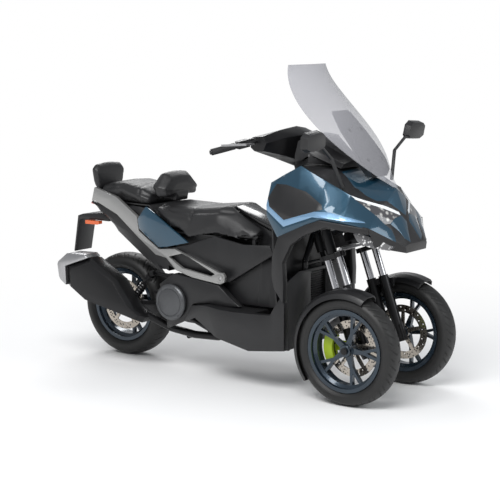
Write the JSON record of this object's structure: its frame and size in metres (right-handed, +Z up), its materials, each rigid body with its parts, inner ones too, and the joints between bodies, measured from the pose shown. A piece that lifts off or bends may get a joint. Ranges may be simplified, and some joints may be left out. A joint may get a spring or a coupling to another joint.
{
  "type": "reverse trike",
  "caption": "Tilting maxi scooter with paired steered wheels in front, a driven rear wheel, stepped seat, tall screen and low footboards.",
  "frame": {"origin": "on the ground, midway along the whole length, on the centreline", "axes": "+X forward, +Y to the rider's left, +Z up"},
  "size_m": [2.2238, 1.132, 1.625],
  "materials": {
    "black_metal": "satin",
    "cast_alloy": "rough",
    "silver_alloy": "satin",
    "dark_alloy": "satin",
    "lime_paint": "gloss",
    "silver_paint": "gloss",
    "tyre_rubber": "matte",
    "wheel_paint": "gloss",
    "disc_steel": "brushed",
    "grip_rubber": "matte",
    "body_paint": "gloss",
    "lamp_lens": "clear",
    "black_plastic": "matte",
    "screen_clear": "clear",
    "seat_vinyl": "matte",
    "red_lens": "gloss",
    "amber_lens": "gloss"
  },
  "bodies": {
    "chassis": {"frame": "black_metal", "engine_block": "cast_alloy", "radiator": "black_metal", "swingarm": "black_metal", "rear_shocks": "black_metal", "tilt_linkage": "dark_alloy", "nose_fairing": "body_paint", "fairing_stripe": "silver_paint", "headlamps": "lamp_lens", "nose_trim": "black_plastic", "wheel_arch_lips": "black_plastic", "indicator_strips": "lamp_lens", "windscreen": "screen_clear", "dashboard": "black_plastic", "mirrors": "black_plastic", "legshield": "black_plastic", "centre_tunnel": "black_plastic", "floorboards": "black_plastic", "side_covers": "black_plastic", "engine_side_covers": "black_plastic", "crankcase_covers": "dark_alloy", "storage_tub": "black_plastic", "seat_base": "black_plastic", "rider_seat": "seat_vinyl", "rider_backrest": "seat_vinyl", "pillion_seat": "seat_vinyl", "pillion_backrest": "seat_vinyl", "tail_cover": "black_plastic", "side_arms": "silver_paint", "rear_side_panels": "body_paint", "tail_lamp": "red_lens", "rear_mudguard": "black_plastic", "rear_indicators": "amber_lens", "muffler": "black_metal", "muffler_cap": "silver_alloy"},
    "steering": {"handlebar": "black_metal", "hand_grips": "grip_rubber", "brake_levers": "silver_alloy"},
    "link": {"steering_link": "silver_alloy"},
    "left_fork": {"fork_left": "black_metal", "fork_stanchions_left": "dark_alloy", "front_caliper_left": "lime_paint", "front_fender_left": "black_plastic"},
    "right_fork": {"fork_right": "black_metal", "fork_stanchions_right": "dark_alloy", "front_caliper_right": "lime_paint", "front_fender_right": "black_plastic"},
    "left_front_wheel": {"front_tyre_left": "tyre_rubber", "front_rim_left": "wheel_paint", "front_disc_left": "disc_steel"},
    "right_front_wheel": {"front_tyre_right": "tyre_rubber", "front_rim_right": "wheel_paint", "front_disc_right": "disc_steel"},
    "back_wheel": {"rear_tyre": "tyre_rubber", "rear_rim": "wheel_paint", "rear_disc": "disc_steel"},
    "fuel_flap": {"fuel_lid": "black_plastic"},
    "main_stand": {"centre_stand": "black_metal"},
    "prop_stand": {"side_stand": "black_metal"}
  },
  "joints": [
    {"name": "steering", "type": "hinge", "parent": "chassis", "child": "steering", "pos_m": [0.67589, 0, 0.21591], "axis": [-0.342, 0, 0.9397], "range_deg": [-30, 30]},
    {"name": "steering_link", "type": "hinge", "parent": "steering", "child": "link", "pos_m": [0.56947, 0, 0.68372], "axis": [-0.342, 0, 0.9397], "range_deg": [-30, 30]},
    {"name": "left_kingpin", "type": "hinge", "parent": "chassis", "child": "left_fork", "pos_m": [0.83, 0.17, 0.272], "axis": [-0.342, 0, 0.9397], "range_deg": [-30, 30]},
    {"name": "right_kingpin", "type": "hinge", "parent": "chassis", "child": "right_fork", "pos_m": [0.83, -0.17, 0.272], "axis": [-0.342, 0, 0.9397], "range_deg": [-30, 30]},
    {"name": "left_front_axle", "type": "hinge", "parent": "left_fork", "child": "left_front_wheel", "pos_m": [0.84, 0.28, 0.272], "axis": [0, 1, 0], "continuous": true},
    {"name": "right_front_axle", "type": "hinge", "parent": "right_fork", "child": "right_front_wheel", "pos_m": [0.84, -0.28, 0.272], "axis": [0, 1, 0], "continuous": true},
    {"name": "rear_axle", "type": "hinge", "parent": "chassis", "child": "back_wheel", "pos_m": [-0.76, 0, 0.285], "axis": [0, 1, 0], "continuous": true},
    {"name": "fuel_lid_hinge", "type": "hinge", "parent": "chassis", "child": "fuel_flap", "pos_m": [0.292, 0, 0.77], "axis": [0, 1, 0], "range_deg": [0, 75]},
    {"name": "centre_stand_pivot", "type": "hinge", "parent": "chassis", "child": "main_stand", "pos_m": [-0.08, 0, 0.188], "axis": [0, -1, 0], "range_deg": [0, 95]},
    {"name": "side_stand_pivot", "type": "hinge", "parent": "chassis", "child": "prop_stand", "pos_m": [0.03, 0.141, 0.196], "axis": [0, -1, 0], "range_deg": [0, 100]}
  ],
  "couplings": [
    {"joint": "steering_link", "follows": "steering", "ratio": -1},
    {"joint": "left_kingpin", "follows": "steering", "ratio": 1},
    {"joint": "right_kingpin", "follows": "steering", "ratio": 1}
  ]
}
